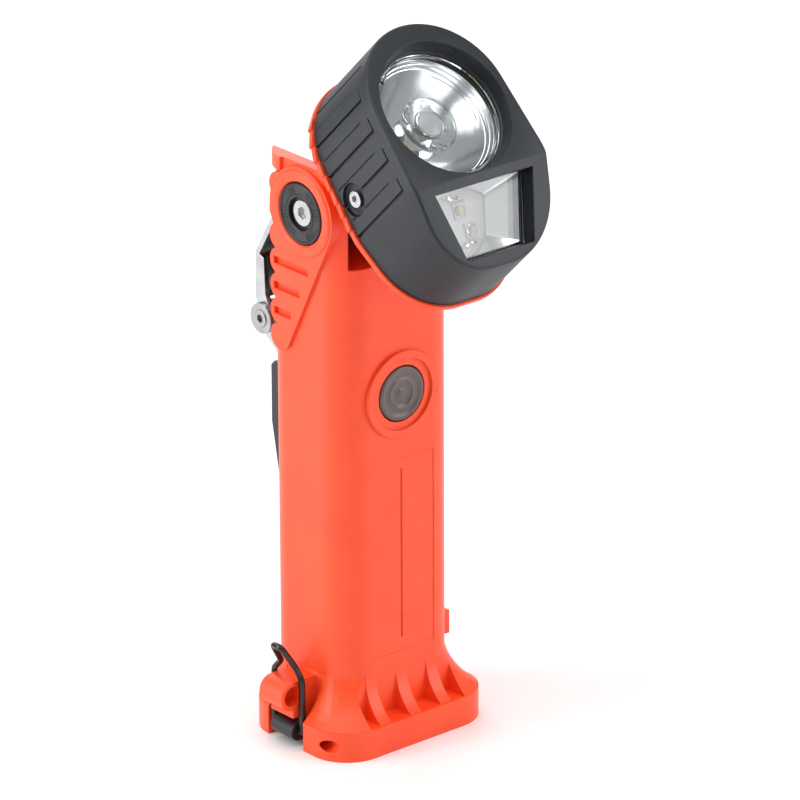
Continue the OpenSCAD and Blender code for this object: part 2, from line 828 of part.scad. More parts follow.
// Neck between the ears, bored for the bushes
module neck() {
    color("dimgray")
    in_head() difference() {
        union() {
            rod_x(-neck_x, neck_x, neck_r);
            translate([-neck_x, -neck_r + 1.5, 0]) cube([2 * neck_x, 2 * neck_r - 3, rim_n]);
        }
        rod_x(-neck_x - 1, neck_x + 1, stub_r + fit);
        cylinder(r = 3, h = rim_n + 1);
    }
}

module bezel() {
    color("dimgray")
    in_head() difference() {
        union() {
            intersection() {
                head_block(0, bezel_n, 0);
                union() {
                    for (i = [0 : 3])
                        head_block(edge_t * i / 3, bezel_n, edge_drop * (1 - sqrt(i / 3)));
                }
            }
        }
        head_block(bezel_wall, bezel_n - 1, lens_drop);
        cylinder(d = lens_d, h = 100);
        translate([0, -fold_w, face_n]) rotate([flood_tilt, 0, 0])
            translate([0, 0, -20]) linear_extrude(40) window_outline();
        // screw recesses
        both_sides() translate([0, screw_w, screw_n]) {
            rod_x(crown_r - 1, crown_r + 5, 4.4);
            rod_x(crown_r - 10, crown_r + 5, 1.3);
        }
        // grip grooves
        both_sides() for (i = [-2 : 2])
            translate([groove_x(i), i * groove_pitch + groove_mid, bezel_n - 1])
                rotate([0, 0, groove_turn(i)])
                    translate([-0.7, -0.4, 0]) cube([4, 0.8, bezel_l - 3]);
    }
}

module bezel_screws() {
    color("silver")
    in_head() both_sides() translate([0, screw_w, screw_n])
        difference() {
            union() {
                rod_x(crown_r - 0.9, crown_r + 0.3, 2.3);
                rod_x(crown_r - 6, crown_r - 0.9, 1.2);
            }
            translate([crown_r - 0.4, 0, 0]) rotate([0, 90, 0]) cylinder(r = 1.2, h = 2, $fn = 6);
        }
}

module lens_gasket() {
    color("black")
    in_head() translate([0, 0, lens_n - lens_t - 1])
        difference() {
            cylinder(d = lens_d + 1.6, h = 1);
            translate([0, 0, -1]) cylinder(d = lens_d - 1, h = 3);
        }
}

module spot_lens() {
    color("lightcyan", 0.4)
    in_head() translate([0, 0, lens_n - lens_t]) cylinder(d = lens_d + 1.6, h = lens_t);
}

// Deep bowl: the radius grows with the square root of the depth
module spot_reflector() {
    front = lens_n - lens_t - 1;
    back = board_n + 3;
    r = lens_d / 2 - 0.6;
    steps = 14;
    function bowl(t) = 3.2 + (r - 3.2) * pow(t, 0.55);
    inside = [for (i = [0 : steps]) [bowl(i / steps), back + (front - back) * i / steps]];
    outside = [for (i = [steps : -1 : 0])
        [bowl(i / steps) + 0.9, back + (front - back) * i / steps - (i == steps ? 0 : 0.4)]];
    color("silver")
    in_head() rotate_extrude() polygon(concat(inside, outside));
}

module spot_led() {
    color("lightyellow")
    in_head() translate([0, 0, board_n + 1.6]) {
        translate([-1.75, -1.75, 0]) cube([3.5, 3.5, 0.9]);
        translate([0, 0, 0.9]) cylinder(r = 1.5, h = 0.8);
    }
}

module spot_board() {
    color("white")
    in_head() translate([0, 0, board_n]) cylinder(r = 9, h = 1.6);
}

module heat_sink() {
    color("silver")
    in_head() difference() {
        translate([0, 0, bezel_n]) linear_extrude(board_n - bezel_n) head_outline(5.2);
        translate([0, 0, bezel_n - 1]) cylinder(r = 3, h = board_n - bezel_n + 2);
    }
}

module flood_window() {
    color("lightcyan", 0.4)
    in_flood() translate([0, 0, -lens_drop - glass_t])
        linear_extrude(glass_t) window_outline(0.2);
}

// Bright funnel from the flood board out to the window
module flood_reflector() {
    module funnel(grow) {
        y = flood_h / 2 - 1;
        function corners(k, z) =
            [[(1 - flood_bottom / 2) * k, -y * k, z], [(flood_bottom / 2 - 1) * k, -y * k, z],
             [(flood_top / 2 - 1) * k, y * k, z], [(1 - flood_top / 2) * k, y * k, z]];
        translate([0, -flood_in - flood_h / 2, 0])
            polyhedron(concat(corners(0.55 * grow, flood_back),
                              corners(grow, -lens_drop - glass_t)),
                       [[0, 1, 2, 3], [7, 6, 5, 4], [0, 4, 5, 1], [1, 5, 6, 2],
                        [2, 6, 7, 3], [3, 7, 4, 0]]);
    }
    color("silver")
    in_flood() difference() {
        funnel(1.08);
        funnel(1);
    }
}

module flood_board() {
    color("white")
    in_flood() translate([-8, -flood_in - flood_h / 2 - 7, flood_back - 1.4]) cube([16, 14, 1.4]);
}

module flood_leds() {
    color("lightyellow")
    in_flood() for (s = [-1, 1])
        translate([-s * 1.2, -flood_in - flood_h / 2 + s * 2.9, flood_back]) {
            translate([-1.4, -1.4, 0]) cube([2.8, 2.8, 0.6]);
            translate([0, 0, 0.6]) cylinder(r = 1.1, h = 0.5);
        }
}

module driver_board() {
    top = cell_z + 2 * cell_l + 3.2;
    color("darkgreen")
    translate([-15, 0, top]) {
        cube([30, 1.6, 20]);
        translate([4, -3, 4]) cube([8, 3, 8]);
        translate([18, -4, 6]) cube([9, 4, 9]);
    }
}

module lead_wires() {
    color("red")
    in_head() for (x = [-1.2, 1.2]) translate([x, 0, -3]) cylinder(r = 0.7, h = board_n + 3);
}

body_shell();
battery_door();
door_gasket();
cell_carrier();
battery_cells();
contact_springs();
contact_plates();
switch_board();
tact_switch();
button_boot();
power_button();
pivot_bush_left();
pivot_bush_right();
pivot_screws();
clip_bracket();
bracket_screws();
clip_pin();
clip_washers();
clip_spring();
clip_lever();
clip_pad();
latch_bail();
head_housing();
neck();
bezel();
bezel_screws();
lens_gasket();
spot_lens();
spot_reflector();
spot_led();
spot_board();
heat_sink();
flood_window();
flood_reflector();
flood_leds();
flood_board();
driver_board();
lead_wires();
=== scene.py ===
import bpy
import bmesh
import math
from mathutils import Matrix, Vector


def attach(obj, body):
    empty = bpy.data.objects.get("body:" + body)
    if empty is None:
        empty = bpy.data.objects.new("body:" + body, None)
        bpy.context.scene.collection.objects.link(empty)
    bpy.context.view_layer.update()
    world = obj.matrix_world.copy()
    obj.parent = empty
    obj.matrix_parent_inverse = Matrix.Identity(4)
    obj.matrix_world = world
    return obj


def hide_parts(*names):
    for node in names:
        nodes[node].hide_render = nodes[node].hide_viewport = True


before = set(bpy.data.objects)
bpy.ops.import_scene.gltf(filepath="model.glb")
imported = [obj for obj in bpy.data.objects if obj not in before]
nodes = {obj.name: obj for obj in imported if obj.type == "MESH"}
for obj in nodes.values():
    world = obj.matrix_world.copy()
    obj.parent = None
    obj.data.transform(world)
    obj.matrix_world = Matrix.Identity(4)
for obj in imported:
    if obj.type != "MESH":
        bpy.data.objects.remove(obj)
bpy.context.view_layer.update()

scene = bpy.context.scene
mm = 0.001


# angles in degrees; aimAt is where aim falls in a frame twice middle wide, at scale per metre
camera = dict(turn=40.0, lift=22.0, roll=-0.4, distance=1.9, lens=307.8, sensor=36,
              aim=(0, 0, 0.105), aimAt=(361, 371), middle=400, scale=3600)


def addCamera():
    turn, lift, roll = (math.radians(camera[k]) for k in ("turn", "lift", "roll"))
    forward = Vector((math.cos(lift) * math.sin(turn), math.cos(lift) * math.cos(turn),
                      -math.sin(lift)))
    level = Vector((math.cos(turn), -math.sin(turn), 0))
    upright = level.cross(forward)
    right = level * math.cos(roll) + upright * math.sin(roll)
    up = upright * math.cos(roll) - level * math.sin(roll)
    place = Vector(camera["aim"]) - forward * camera["distance"]
    # the view's middle lies right of and below the aimed point
    aside, below = (camera["middle"] - part for part in camera["aimAt"])
    target = Vector(camera["aim"]) + (right * aside - up * below) / camera["scale"]
    back = (place - target).normalized()
    right = (right - back * right.dot(back)).normalized()
    data = bpy.data.cameras.new("viewCamera")
    data.lens, data.sensor_width = camera["lens"], camera["sensor"]
    data.clip_start, data.clip_end = 0.05, 20
    eye = bpy.data.objects.new("viewCamera", data)
    eye.matrix_world = Matrix.Translation(place) @ Matrix(
        (right, back.cross(right), back)).transposed().to_4x4()
    scene.collection.objects.link(eye)
    scene.camera = eye


room = dict(skyStrength=0.4, floorHalf=6, lampAim=(0, 0, 0.1))
# name: place, width, height, watts, colour
softboxes = {
    "leftBox": ((-0.72, 0.36, 0.34), 0.4, 0.9, 5.6, (1.0, 0.995, 0.99)),
    "frontBox": ((0.62, -0.72, 0.4), 0.5, 0.8, 4.2, (1.0, 0.995, 0.99)),
    "topBox": ((-0.1, -0.1, 1.0), 1.0, 1.0, 6.0, (1.0, 1.0, 1.0)),
    "backBox": ((0.35, 0.8, 0.5), 0.8, 0.6, 3.5, (0.98, 0.99, 1.0)),
}


def addStage():
    for name, (place, width, height, watts, colour) in softboxes.items():
        lamp = bpy.data.lights.new(name, "AREA")
        lamp.shape, lamp.size, lamp.size_y = "RECTANGLE", width, height
        lamp.energy, lamp.color = watts, colour
        box = bpy.data.objects.new(name, lamp)
        towards = Vector(room["lampAim"]) - Vector(place)
        box.matrix_world = (Matrix.Translation(place)
                            @ towards.to_track_quat("-Z", "Y").to_matrix().to_4x4())
        scene.collection.objects.link(box)
    world = bpy.data.worlds.new("paleRoom")
    world.use_nodes = True
    sky = world.node_tree.nodes["Background"]
    sky.inputs["Color"].default_value = (1, 1, 1, 1)
    sky.inputs["Strength"].default_value = room["skyStrength"]
    scene.world = world
    floor = bmesh.new()
    bmesh.ops.create_grid(floor, x_segments=1, y_segments=1, size=room["floorHalf"])
    mesh = bpy.data.meshes.new("floor")
    floor.to_mesh(mesh)
    floor.free()
    paleFloor = bpy.data.objects.new("floor", mesh)
    scene.collection.objects.link(paleFloor)
    mesh.materials.append(finishes["floorPaint"])


# a shader socket that takes part in Python expressions
class Val:
    def __init__(self, tree, socket):
        self.tree, self.socket = tree, socket

    def maths(self, operation, *others):
        step = self.tree.nodes.new("ShaderNodeMath")
        step.operation = operation
        for slot, value in zip(step.inputs, (self,) + others):
            if isinstance(value, Val):
                self.tree.links.new(value.socket, slot)
            else:
                slot.default_value = value
        return Val(self.tree, step.outputs[0])

    def __add__(self, other):
        return self.maths("ADD", other)

    __radd__ = __add__

    def __mul__(self, other):
        return self.maths("MULTIPLY", other)

    __rmul__ = __mul__

    def __sub__(self, other):
        return self.maths("SUBTRACT", other)

    def __rsub__(self, other):
        return (self * -1) + other

    def __truediv__(self, other):
        return self.maths("DIVIDE", other)

    def ramp(self, low, high):
        # 0 at low, 1 at high, held between
        return ((self - low) / (high - low)).maths("MINIMUM", 1.0).maths("MAXIMUM", 0.0)


# one node material, its nodes read from the object's own coordinates
class Finish:
    def __init__(self, name):
        self.material = bpy.data.materials.new(name)
        self.material.use_nodes = True
        self.tree = self.material.node_tree
        self.shader = self.tree.nodes["Principled BSDF"]
        self.spot = self.node("ShaderNodeTexCoord", out="Object")

    def node(self, kind, settings=None, out=0, **values):
        made = self.tree.nodes.new(kind)
        for key, value in (settings or {}).items():
            if key == "stops":
                ramp = made.color_ramp.elements
                while len(ramp) < len(value):
                    ramp.new(0.5)
                for stop, (place, colour) in zip(ramp, value):
                    stop.position, stop.color = place, colour
            else:
                setattr(made, key, value)
        for key, value in values.items():
            slot = made.inputs[int(key[1:]) if key[1:].isdigit() else key.replace("_", " ")]
            if isinstance(value, Val):
                self.tree.links.new(value.socket, slot)
            else:
                slot.default_value = value
        return Val(self.tree, made.outputs[out])

    def set(self, **values):
        for key, value in values.items():
            slot = self.shader.inputs[key.replace("_", " ")]
            if isinstance(value, Val):
                self.tree.links.new(value.socket, slot)
            else:
                slot.default_value = value
        return self

    def noise(self, size, detail=3.0, rough=0.55):
        # size is the width of one grain in millimetres
        return self.node("ShaderNodeTexNoise", Vector=self.spot, Scale=1000 / size,
                         Detail=detail, Roughness=rough)

    def blend(self, mask, dark, light):
        return self.node("ShaderNodeMix", {"data_type": "RGBA"}, 2, i0=mask,
                         i6=(*dark, 1), i7=(*light, 1))

    def rounded(self, radius, height, depth):
        # edges rounded by the radius, with a grain on top of them
        soft = self.node("ShaderNodeBevel", {"samples": 4}, Radius=radius * mm)
        return self.node("ShaderNodeBump", Strength=1.0, Distance=depth * mm, Height=height,
                         Normal=soft)

    def edges(self, radius):
        # 1 where an edge is near, 0 on open faces
        soft = self.node("ShaderNodeBevel", {"samples": 4}, Radius=radius * mm)
        flat = self.node("ShaderNodeNewGeometry", out="Normal")
        dot = self.node("ShaderNodeVectorMath", {"operation": "DOT_PRODUCT"}, "Value",
                        i0=soft, i1=flat)
        return (1 - dot).ramp(0.02, 0.25)


def mouldedPlastic(name, dark, light, rough, edge=0.55, grain=0.5, depth=0.012, worn=None):
    f = Finish(name)
    patches = f.noise(14, 2)
    colour = f.blend(patches.ramp(0.35, 0.65), dark, light)
    if worn:
        mask = f.edges(edge) * f.noise(2.5).ramp(0.35, 0.7)
        colour = f.node("ShaderNodeMix", {"data_type": "RGBA"}, 2, i0=mask, i6=colour,
                        i7=(*worn, 1))
    fine = f.noise(grain, 2)
    f.set(Base_Color=colour, Roughness=fine * 0.12 + (patches * 0.08 + (rough - 0.1)),
          Normal=f.rounded(edge, fine, depth), IOR=1.5)
    return f


def brushedMetal(name, dark, light, rough, stretch=(1, 1, 12), edge=0.2, depth=0.004):
    f = Finish(name)
    along = f.node("ShaderNodeMapping", Vector=f.spot, Scale=stretch)
    lines = f.node("ShaderNodeTexNoise", Vector=along, Scale=1400.0, Detail=2.0)
    smudge = f.noise(5, 3)
    f.set(Base_Color=f.blend(smudge.ramp(0.3, 0.7), dark, light), Metallic=1.0,
          Roughness=lines * 0.12 + (smudge * 0.1 + (rough - 0.1)),
          Normal=f.rounded(edge, lines, depth))
    return f


def clearPlastic(name, rough=0.02):
    f = Finish(name)
    haze = f.noise(9, 2)
    f.set(Base_Color=f.blend(haze, (0.95, 0.975, 0.98), (0.985, 0.99, 1.0)),
          Roughness=haze.ramp(0.45, 0.8) * 0.03 + rough, Transmission_Weight=1.0, IOR=1.46)
    return f


def makeFinishes():
    made = {}
    made["orangeNylon"] = mouldedPlastic(
        "orangeNylon", (0.93, 0.070, 0.012), (0.97, 0.082, 0.015), 0.4, 0.5, 0.5, 0.008)
    made["orangeNylon"].set(Subsurface_Weight=0.06, Subsurface_Scale=0.002)
    made["blackNylon"] = mouldedPlastic(
        "blackNylon", (0.008, 0.011, 0.016), (0.014, 0.018, 0.024), 0.46, 0.45, 0.42, 0.03,
        (0.05, 0.053, 0.06))
    made["satinBlack"] = mouldedPlastic(
        "satinBlack", (0.010, 0.011, 0.013), (0.017, 0.018, 0.020), 0.34, 0.3, 0.6, 0.008,
        (0.04, 0.04, 0.042))
    made["smokedRubber"] = mouldedPlastic(
        "smokedRubber", (0.075, 0.055, 0.055), (0.11, 0.08, 0.078), 0.34, 0.25, 0.4, 0.006)
    made["smokedRubber"].set(Coat_Weight=0.25)
    made["blackRubber"] = mouldedPlastic(
        "blackRubber", (0.012, 0.012, 0.013), (0.02, 0.02, 0.021), 0.62, 0.3, 0.8, 0.02)
    made["blackWire"] = mouldedPlastic(
        "blackWire", (0.006, 0.006, 0.007), (0.011, 0.011, 0.012), 0.2, 0.15, 1.2, 0.005)
    made["brushedSteel"] = brushedMetal(
        "brushedSteel", (0.34, 0.34, 0.35), (0.47, 0.47, 0.48), 0.32)
    made["platedSteel"] = brushedMetal(
        "platedSteel", (0.46, 0.46, 0.47), (0.60, 0.60, 0.61), 0.20, (12, 1, 1))
    made["mirrorCoat"] = brushedMetal(
        "mirrorCoat", (0.93, 0.94, 0.95), (0.97, 0.975, 0.98), 0.16, (3, 3, 3), 0.1, 0.001)
    made["brass"] = brushedMetal("brass", (0.62, 0.43, 0.16), (0.74, 0.54, 0.24), 0.3)
    made["clearPlastic"] = clearPlastic("clearPlastic")
    frost = Finish("frostedOptic")
    swirl = frost.noise(3, 3)
    frost.set(Base_Color=frost.blend(swirl, (0.86, 0.89, 0.92), (0.95, 0.96, 0.97)),
              Roughness=swirl * 0.1 + 0.2, Transmission_Weight=0.2, Coat_Weight=0.6)
    made["frostedOptic"] = frost
    glow = Finish("ledPhosphor")
    speck = glow.noise(0.5, 3)
    glow.set(Base_Color=glow.blend(speck, (0.86, 0.7, 0.2), (0.95, 0.86, 0.42)),
             Roughness=speck * 0.1 + 0.3, Coat_Weight=0.5)
    made["ledPhosphor"] = glow
    made["boardWhite"] = mouldedPlastic(
        "boardWhite", (0.88, 0.885, 0.88), (0.94, 0.94, 0.935), 0.35, 0.15, 0.6, 0.004)
    made["boardGreen"] = mouldedPlastic(
        "boardGreen", (0.01, 0.09, 0.03), (0.02, 0.15, 0.05), 0.4, 0.1, 0.7, 0.004)
    made["aluminium"] = brushedMetal(
        "aluminium", (0.66, 0.67, 0.68), (0.78, 0.79, 0.8), 0.38)
    made["cellWrap"] = mouldedPlastic(
        "cellWrap", (0.03, 0.06, 0.16), (0.05, 0.09, 0.22), 0.3, 0.2, 0.8, 0.003)
    made["redWire"] = mouldedPlastic(
        "redWire", (0.5, 0.015, 0.012), (0.62, 0.03, 0.02), 0.4, 0.1, 0.6, 0.004)
    floor = Finish("floorPaint")
    drift = floor.noise(60, 3)
    floor.set(Base_Color=floor.blend(drift, (0.93, 0.93, 0.93), (0.96, 0.96, 0.96)),
              Roughness=drift * 0.1 + 0.75)
    made["floorPaint"] = floor
    return {name: f.material for name, f in made.items()}


head = dict(pivotY=-1.0, pivotZ=157.4, tilt=45, back=19.2, face=50.2, rim=17.6,
            foldW=20.6, floodTilt=23.5, lensDrop=4.6, wall=2.4)
bodySpace = Matrix.Scale(mm, 4)
pivotPlace = Matrix.Translation((0, head["pivotY"] * mm, head["pivotZ"] * mm))
# in head space x is sideways, y runs up the face and z along the beam
headSpace = pivotPlace @ Matrix.Rotation(math.radians(90 - head["tilt"]), 4, "X") @ bodySpace
floodSpace = (headSpace @ Matrix.Translation((0, -head["foldW"], head["face"]))
              @ Matrix.Rotation(math.radians(head["floodTilt"]), 4, "X"))


def newObject(bm, name, space):
    mesh = bpy.data.meshes.new(name)
    bmesh.ops.transform(bm, matrix=space, verts=bm.verts)
    bm.to_mesh(mesh)
    bm.free()
    made = bpy.data.objects.new(name, mesh)
    scene.collection.objects.link(made)
    return made


def closeUp(bm):
    bmesh.ops.remove_doubles(bm, verts=bm.verts, dist=0.0005)
    bmesh.ops.recalc_face_normals(bm, faces=bm.faces)


def finishPiece(made, finish, body, replaces=(), angle=32):
    mesh = made.data
    mesh.materials.clear()
    mesh.materials.append(finishes[finish])
    mesh.shade_smooth()
    mesh.set_sharp_from_angle(angle=math.radians(angle))
    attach(made, body)
    if replaces:
        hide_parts(*replaces)
    return made


def cutWith(piece, tool):
    cut = piece.modifiers.new("cut", "BOOLEAN")
    cut.object, cut.operation, cut.solver = tool, "DIFFERENCE", "EXACT"
    dg = bpy.context.evaluated_depsgraph_get()
    dg.update()
    mesh = bpy.data.meshes.new_from_object(piece.evaluated_get(dg))
    piece.modifiers.clear()
    piece.data = mesh
    bpy.data.objects.remove(tool)


def prism(points, low, high):
    bm = bmesh.new()
    face = bm.faces.new([bm.verts.new((x, y, low)) for x, y in points])
    raised = bmesh.ops.extrude_face_region(bm, geom=[face])["geom"]
    bmesh.ops.translate(bm, vec=(0, 0, high - low),
                        verts=[g for g in raised if isinstance(g, bmesh.types.BMVert)])
    bmesh.ops.recalc_face_normals(bm, faces=bm.faces)
    return bm


def block(low, high, edge=0.0, segments=2):
    bm = bmesh.new()
    bmesh.ops.create_cube(bm, size=1)
    middle = [(a + b) / 2 for a, b in zip(low, high)]
    size = [b - a for a, b in zip(low, high)]
    bmesh.ops.transform(bm, matrix=Matrix.Translation(middle) @ Matrix.Diagonal((*size, 1)),
                        verts=bm.verts)
    if edge:
        bmesh.ops.bevel(bm, geom=bm.edges[:], offset=edge, affect="EDGES", segments=segments,
                        profile=0.5, material=-1)
    return bm


def lathe(profile, steps=72):
    # closed profile of (radius, height) points, turned round the z axis
    bm = bmesh.new()
    ring = [bm.verts.new((r, 0, z)) for r, z in profile]
    edges = [bm.edges.new((a, b)) for a, b in zip(ring, ring[1:])]
    if profile[0][0] > 0.001:
        edges.append(bm.edges.new((ring[-1], ring[0])))
    bmesh.ops.spin(bm, geom=ring + edges, cent=(0, 0, 0), axis=(0, 0, 1),
                   angle=2 * math.pi, steps=steps, use_merge=True)
    closeUp(bm)
    return bm


def merged(parts):
    whole = bmesh.new()
    for part in parts:
        mesh = bpy.data.meshes.new("part")
        part.to_mesh(mesh)
        part.free()
        whole.from_mesh(mesh)
        bpy.data.meshes.remove(mesh)
    return whole


def turned(bm, matrix):
    bmesh.ops.transform(bm, matrix=matrix, verts=bm.verts)
    return bm


# circles that the head's outline runs round: sideways, up the face, radius
outline = dict(crown=(0, 3.4, 22.6), cheek=(6.9, -17.6, 16.8), chin=(3.4, -25.4, 18.8),
               stepAngle=5)


def headOutline(inset):
    x1, y1, r1 = outline["cheek"]
    x2, y2, r2 = outline["chin"]
    circles = [outline["crown"], (-x1, y1, r1), (-x2, y2, r2), (x2, y2, r2), (x1, y1, r1)]
    normals = []
    for a, b in zip(circles, circles[1:] + circles[:1]):
        along = Vector((b[0] - a[0], b[1] - a[1]))
        k = (a[2] - b[2]) / along.length
        along.normalize()
        side = Vector((along.y, -along.x))
        normals.append(side * math.sqrt(1 - k * k) + along * k)
    points = []
    for i, (x, y, r) in enumerate(circles):
        first = math.atan2(normals[i - 1].y, normals[i - 1].x)
        last = math.atan2(normals[i].y, normals[i].x)
        while last < first:
            last += 2 * math.pi
        count = max(1, round(math.degrees(last - first) / outline["stepAngle"]))
        for j in range(count + 1):
            a = first + (last - first) * j / count
            points.append((x + (r - inset) * math.cos(a), y + (r - inset) * math.sin(a)))
    return points


def headBlock(inset, low, drop=0.0):
    # straight along the beam, its front cut off by the upper and the tilted face
    bm = prism(headOutline(inset), low, head["face"] - drop)
    tilt = math.radians(head["floodTilt"])
    across = Vector((0, -math.sin(tilt), math.cos(tilt)))
    spot = Vector((0, -head["foldW"], head["face"])) - across * drop
    cut = bmesh.ops.bisect_plane(bm, geom=bm.verts[:] + bm.edges[:] + bm.faces[:],
                                 plane_co=spot, plane_no=across, clear_outer=True)
    bmesh.ops.holes_fill(bm, edges=[e for e in bm.edges if e.is_boundary])
    bmesh.ops.recalc_face_normals(bm, faces=bm.faces)
    return bm


bezel = dict(edge=3.0, segments=5, boreR=18.8, stepR=19.5, mouthR=20.3,
             floodTop=34.8, floodBottom=23.6, floodIn=2.6, floodH=19.6,
             groovePitch=9.3, grooveMid=0.6, grooveW=0.9, grooveDeep=0.8, grooveEnd=46.2,
             returnDeep=0.5, returnL=0.42, hairW=0.36, hairDeep=0.3, hairFrom=1.5, hairShort=4,
             screwW=-9.2, screwN=25.0, screwR=4.7, shankR=1.3)


def windowPoints(grow=0.0):
    top, bottom = bezel["floodTop"] / 2 + grow, bezel["floodBottom"] / 2 + grow
    high, low = -bezel["floodIn"] + grow, -bezel["floodIn"] - bezel["floodH"] - grow
    return [(-top, high), (-bottom, low), (bottom, low), (top, high)]


def floodMiddle():
    return -bezel["floodIn"] - bezel["floodH"] / 2


def sideAt(w):
    # half width of the head at this height, and which way its side looks
    x, y, r = outline["crown"]
    cx, cy, cr = outline["cheek"]
    if w > y:
        return math.sqrt(r * r - (w - y) ** 2), math.asin((w - y) / r)
    lean = (x + r - cx - cr) / (y - cy)
    return r + (w - y) * lean, 0.0


def onSide(bar, side, w):
    x, lean = sideAt(w)
    turned(bar, Matrix.Scale(side, 4, (1, 0, 0)) @ Matrix.Translation((x, w, 0))
           @ Matrix.Rotation(lean, 4, "Z"))
    bmesh.ops.recalc_face_normals(bar, faces=bar.faces)
    return bar


def grooveCutters(side):
    # grooves, the short returns at their front ends, and hairlines between them
    b = bezel
    grooves, returns, hairlines = [], [], []
    half, end, hair = b["grooveW"] / 2, b["grooveEnd"], b["hairW"] / 2
    for i in range(-2, 3):
        w = i * b["groovePitch"] + b["grooveMid"]
        bar = block((-b["grooveDeep"], -half, head["back"] - 1), (3, half, end))
        grooves.append(onSide(bar, side, w))
        if i < 2:
            bar = block((-b["returnDeep"], half - 0.2, end - 0.5),
                        (3, b["groovePitch"] * b["returnL"], end + 0.05))
            returns.append(onSide(bar, side, w))
        if i > -2:
            bar = block((-b["hairDeep"], -hair, head["back"] + b["hairFrom"]),
                        (3, hair, end - b["hairShort"]))
            hairlines.append(onSide(bar, side, w - b["groovePitch"] / 2))
    return [merged(grooves), merged(returns), merged(hairlines)]


def makeBezel():
    b = bezel
    bm = headBlock(0, head["back"])
    # the edge between the front faces and the side wall is rounded
    tilt = math.radians(head["floodTilt"])
    front = [f for f in bm.faces if f.normal.z > 0.8]
    edges = [e for e in bm.edges if len([f for f in e.link_faces if f in front]) == 1]
    bmesh.ops.bevel(bm, geom=edges, offset=b["edge"], affect="EDGES", segments=b["segments"],
                    profile=0.5, material=-1, clamp_overlap=True)
    made = newObject(bm, "bezelShell", Matrix.Identity(4))
    flood = (Matrix.Translation((0, -head["foldW"], head["face"]))
             @ Matrix.Rotation(tilt, 4, "X"))
    tools = [headBlock(head["wall"], head["back"] - 1, head["lensDrop"]),
             lathe([(0, 30), (b["boreR"], 30), (b["boreR"], 46.0), (b["stepR"] - 0.2, 46.4),
                    (b["stepR"], 48.6), (b["mouthR"], 50.3), (b["mouthR"] + 1, 53), (0, 53)]),
             turned(prism(windowPoints(), -20, 20), flood)]
    for side in (-1, 1):
        tools += grooveCutters(side)
        pit = lathe([(0, -9), (b["shankR"], -9), (b["shankR"], -1), (b["screwR"] - 0.5, -1),
                     (b["screwR"], -0.6), (b["screwR"] + 0.2, 6), (0, 6)], 40)
        spot = Matrix.Translation((side * outline["crown"][2], b["screwW"], b["screwN"]))
        tools.append(turned(pit, spot @ Matrix.Rotation(side * math.pi / 2, 4, "Y")))
    for tool in tools:
        cutWith(made, newObject(tool, "tool", Matrix.Identity(4)))
    made.data.transform(headSpace)
    finishPiece(made, "blackNylon", "head", ["bezel"])


teeth = dict(pitch=4.3, count=8, low=-13.4, half=1.9, thin=0.62, thick=1.15, t=1.6)


def makeRimTeeth():
    # small stepped plates along both sides of the orange rim
    d = teeth
    parts = []
    for side in (-1, 1):
        for i in range(d["count"]):
            w = d["low"] + i * d["pitch"]
            plate = prism([(0.2, -d["half"]), (d["thick"], -d["half"]), (d["thin"], d["half"]),
                           (0.2, d["half"])], head["rim"] + 0.02, head["rim"] + d["t"])
            parts.append(onSide(plate, side, w))
    made = newObject(merged(parts), "rimTeeth", headSpace)
    finishPiece(made, "orangeNylon", "head")


lens = dict(r=18.7, low=43.4, high=45.6, opticR=8.2, opticLow=30.0, tabTurn=38)


def makeLens():
    p = lens
    # flat disc with a raised rim and a slight dome
    disc = lathe([(0, p["low"]), (p["r"], p["low"]), (p["r"], p["high"] - 0.2),
                  (p["r"] - 0.2, p["high"]), (p["r"] - 0.7, p["high"]),
                  (p["r"] - 1.0, p["high"] - 0.35), (p["r"] - 6, p["high"] - 0.2),
                  (0, p["high"] - 0.05)], 96)
    made = newObject(disc, "spotLens", headSpace)
    finishPiece(made, "clearPlastic", "head", ["spot_lens"])
    # gate mark of the moulding, at the rim
    tab = block((-1.5, -0.7, -0.5), (1.5, 0.7, 0.5), 0.25)
    place = (Matrix.Rotation(math.radians(p["tabTurn"]), 4, "Z")
             @ Matrix.Translation((0, p["r"] - 0.8, p["high"] + 0.1)))
    tabPiece = newObject(turned(tab, place), "lensTab", headSpace)
    finishPiece(tabPiece, "clearPlastic", "head")
    r = p["opticR"]
    # clear collimator with a frosted disc in its front
    optic = lathe([(0, p["opticLow"]), (2.6, p["opticLow"]), (4.6, 33.0), (r - 0.5, 37.8),
                   (r, 38.6), (r, 39.6), (r - 0.3, 40.1), (r - 1.0, 40.1), (r - 1.4, 39.6),
                   (4.6, 39.4), (4.2, 40.0), (4.0, 39.6), (0, 39.6)], 64)
    finishPiece(newObject(optic, "spotOptic", headSpace), "clearPlastic", "head")
    disc = lathe([(0, 39.62), (3.6, 39.62), (3.8, 39.8), (3.7, 40.0), (2.4, 40.35), (0, 40.6)],
                 48)
    finishPiece(newObject(disc, "spotDisc", headSpace), "frostedOptic", "head")


bowl = dict(front=42.6, back=25.6, r=18.0, backR=4.2, bulge=0.55, wall=0.8, rings=24,
            stepAt=(20, 22), step=(0.2, 0.05))


def makeReflector():
    # smooth bowl with two shallow steps, its back edge round the lamp
    d = bowl
    rings = []
    for i in range(d["rings"] + 1):
        along = i / d["rings"]
        rings.append((d["backR"] + (d["r"] - d["backR"]) * along ** d["bulge"],
                      d["back"] + (d["front"] - d["back"]) * along))
    stepped = []
    for i, (x, z) in enumerate(rings):
        stepped.append((x, z))
        if i in d["stepAt"]:
            stepped.append((x + d["step"][0], z + d["step"][1]))
    dish = lathe(stepped + [(x + d["wall"], z) for x, z in reversed(rings)], 96)
    made = newObject(dish, "spotReflector", headSpace)
    finishPiece(made, "mirrorCoat", "head", ["spot_reflector"], 25)


